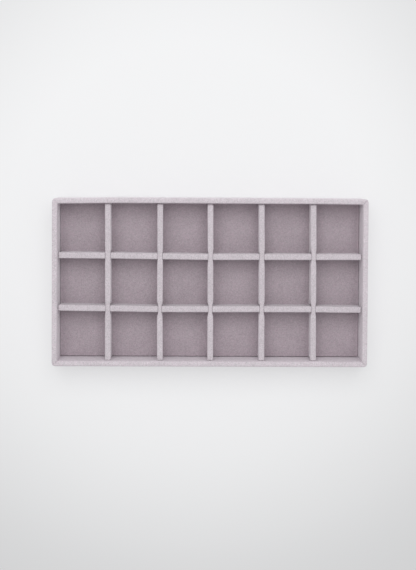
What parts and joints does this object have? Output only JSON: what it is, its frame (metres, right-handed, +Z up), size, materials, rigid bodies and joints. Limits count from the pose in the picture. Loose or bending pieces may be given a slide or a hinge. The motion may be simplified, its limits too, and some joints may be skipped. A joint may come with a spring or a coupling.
{
  "type": "jewelry display tray",
  "caption": "Shallow rectangular velvet-covered jewelry tray with a padded floor and a lift-out grid of cross-lapped dividers.",
  "frame": {"origin": "centre of the underside, in the plane the tray rests on", "axes": "+X along the long side, +Y to the rear wall, +Z up out of the compartments"},
  "size_m": [0.36, 0.1924, 0.035],
  "materials": {
    "wall_velvet": "plush velvet, matt",
    "floor_velvet": "plush velvet, matt",
    "divider_velvet": "plush velvet, matt",
    "greyboard": "raw board",
    "foam": "soft foam",
    "liner": "matt paper"
  },
  "bodies": {
    "tray": {"bottom_liner": "liner", "base_board": "greyboard", "front_wall_board": "greyboard", "front_wall_velvet": "wall_velvet", "rear_wall_board": "greyboard", "rear_wall_velvet": "wall_velvet", "left_wall_board": "greyboard", "left_wall_velvet": "wall_velvet", "right_wall_board": "greyboard", "right_wall_velvet": "wall_velvet", "floor_pad_board": "greyboard", "floor_pad_foam": "foam", "floor_pad_velvet": "floor_velvet"},
    "long_divider_rear": {"long_divider_rear_core": "greyboard", "long_divider_rear_velvet": "divider_velvet"},
    "long_divider_front": {"long_divider_front_core": "greyboard", "long_divider_front_velvet": "divider_velvet"},
    "cross_divider_1": {"cross_divider_1_core": "greyboard", "cross_divider_1_velvet": "divider_velvet"},
    "cross_divider_2": {"cross_divider_2_core": "greyboard", "cross_divider_2_velvet": "divider_velvet"},
    "cross_divider_3": {"cross_divider_3_core": "greyboard", "cross_divider_3_velvet": "divider_velvet"},
    "cross_divider_4": {"cross_divider_4_core": "greyboard", "cross_divider_4_velvet": "divider_velvet"},
    "cross_divider_5": {"cross_divider_5_core": "greyboard", "cross_divider_5_velvet": "divider_velvet"}
  },
  "joints": [
    {"name": "long_divider_rear_lift", "type": "slide", "parent": "tray", "child": "long_divider_rear", "axis": [0, 0, 1], "range_m": [0, 0.04]},
    {"name": "long_divider_front_lift", "type": "slide", "parent": "tray", "child": "long_divider_front", "axis": [0, 0, 1], "range_m": [0, 0.04]},
    {"name": "cross_divider_1_lift", "type": "slide", "parent": "long_divider_rear", "child": "cross_divider_1", "axis": [0, 0, 1], "range_m": [0, 0.04]},
    {"name": "cross_divider_2_lift", "type": "slide", "parent": "long_divider_rear", "child": "cross_divider_2", "axis": [0, 0, 1], "range_m": [0, 0.04]},
    {"name": "cross_divider_3_lift", "type": "slide", "parent": "long_divider_rear", "child": "cross_divider_3", "axis": [0, 0, 1], "range_m": [0, 0.04]},
    {"name": "cross_divider_4_lift", "type": "slide", "parent": "long_divider_rear", "child": "cross_divider_4", "axis": [0, 0, 1], "range_m": [0, 0.04]},
    {"name": "cross_divider_5_lift", "type": "slide", "parent": "long_divider_rear", "child": "cross_divider_5", "axis": [0, 0, 1], "range_m": [0, 0.04]}
  ],
  "couplings": [
    {"joint": "long_divider_front_lift", "follows": "long_divider_rear_lift", "ratio": 1}
  ]
}
